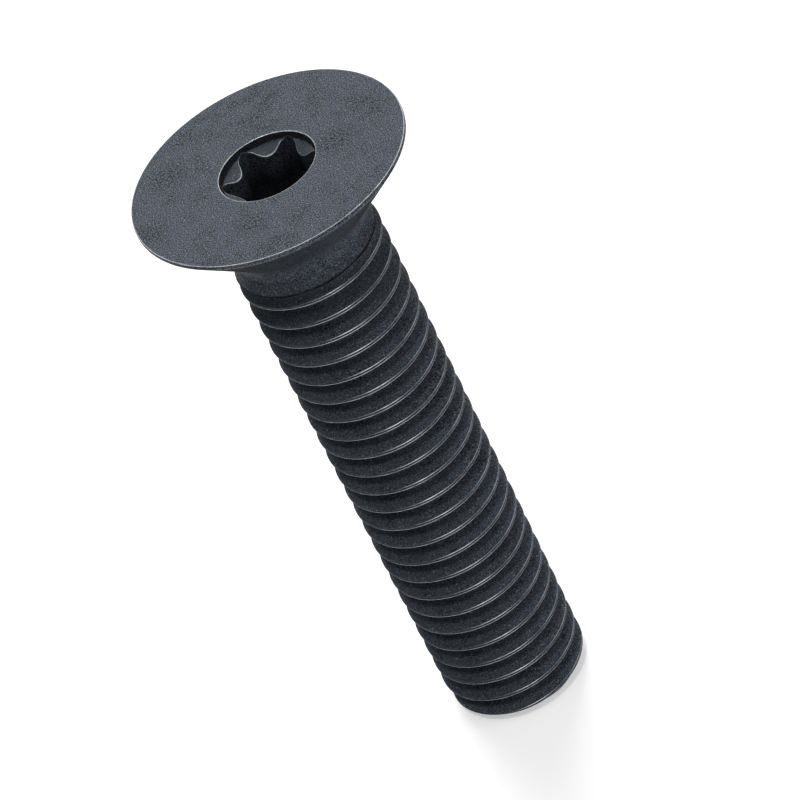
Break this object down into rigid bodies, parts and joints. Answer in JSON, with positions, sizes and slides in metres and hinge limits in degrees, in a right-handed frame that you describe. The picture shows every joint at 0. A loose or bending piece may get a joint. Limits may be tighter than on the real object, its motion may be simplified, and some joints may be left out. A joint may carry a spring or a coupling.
{
  "type": "countersunk socket screw",
  "caption": "Countersunk machine screw with a six-lobe socket in its flat head and a metric thread along its shank, in blackened steel.",
  "frame": {"origin": "centre of the flat end of the tip, on the table that the screw stands on", "axes": "+Z runs along the screw from tip to head and is up, -Y is the front that the picture shows"},
  "size_m": [0.011, 0.011, 0.028],
  "materials": {
    "black_oxide_steel": "black oxide, satin, with worn bright edges"
  },
  "bodies": {
    "root": {"screw": "black_oxide_steel"}
  },
  "joints": []
}
